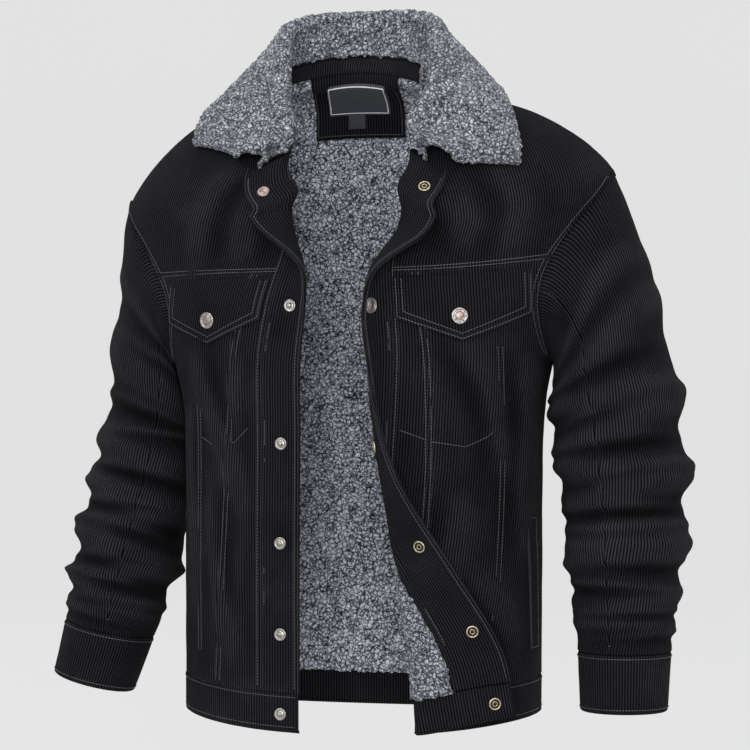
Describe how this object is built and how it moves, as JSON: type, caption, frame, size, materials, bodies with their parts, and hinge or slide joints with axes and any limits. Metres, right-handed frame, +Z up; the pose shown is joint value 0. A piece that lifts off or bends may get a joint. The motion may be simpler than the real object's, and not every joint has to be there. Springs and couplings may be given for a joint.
{
  "type": "sherpa lined jacket",
  "caption": "Waist-length trucker-cut corduroy jacket with curly sherpa lining and wide sherpa collar, worn open with an empty hollow form, lapels and one front edge turned back",
  "frame": {"origin": "centre of the neck opening, level with the neck points of the shoulder seams, where the jacket hangs on a wearer or hanger", "axes": "+Z up the garment, +X towards the wearer's left sleeve, -Y towards the front"},
  "size_m": [0.6774, 0.2875, 0.7557],
  "materials": {
    "corduroy": "black cotton corduroy, about 3 mm wales running up each piece, matt with a soft nap sheen",
    "sherpa": "blue-grey curly polyester sherpa pile",
    "label": "dark woven satin label, left plain",
    "silver": "antiqued nickel snap studs",
    "brass": "dull brass snap sockets",
    "copper": "antiqued copper caps and back plates with paler rims"
  },
  "bodies": {
    "root": {"back_panel": "corduroy", "back_yoke": "corduroy", "collar_under": "corduroy", "collar_upper": "sherpa", "cuff_left": "corduroy", "cuff_right": "corduroy", "facing_left": "corduroy", "facing_right": "corduroy", "flap_snap_left": "copper", "flap_snap_right": "copper", "front_centre_left": "corduroy", "front_centre_right": "corduroy", "front_side_left": "corduroy", "front_side_right": "corduroy", "front_yoke_left": "corduroy", "front_yoke_right": "corduroy", "label_patch": "corduroy", "lining_back": "sherpa", "lining_left": "sherpa", "lining_right": "sherpa", "neck_band": "corduroy", "neck_label": "label", "placket_left": "corduroy", "placket_right": "corduroy", "pocket_flap_left": "corduroy", "pocket_flap_right": "corduroy", "pocket_welt_left": "corduroy", "pocket_welt_right": "corduroy", "sleeve_top_left": "corduroy", "sleeve_top_right": "corduroy", "sleeve_under_left": "corduroy", "sleeve_under_right": "corduroy", "snap_cap_1": "copper", "snap_cap_2": "copper", "snap_cap_3": "copper", "snap_cap_4": "copper", "snap_cap_5": "copper", "snap_cap_6": "copper", "snap_plate_1": "copper", "snap_plate_2": "copper", "snap_plate_3": "copper", "snap_plate_4": "copper", "snap_plate_5": "copper", "snap_plate_6": "copper", "snap_socket_1": "brass", "snap_socket_2": "brass", "snap_socket_3": "brass", "snap_socket_4": "brass", "snap_socket_5": "brass", "snap_socket_6": "brass", "snap_stud_1": "silver", "snap_stud_2": "silver", "snap_stud_3": "silver", "snap_stud_4": "silver", "snap_stud_5": "silver", "snap_stud_6": "silver", "waistband_back": "corduroy", "waistband_left": "corduroy", "waistband_right": "corduroy"}
  },
  "joints": []
}
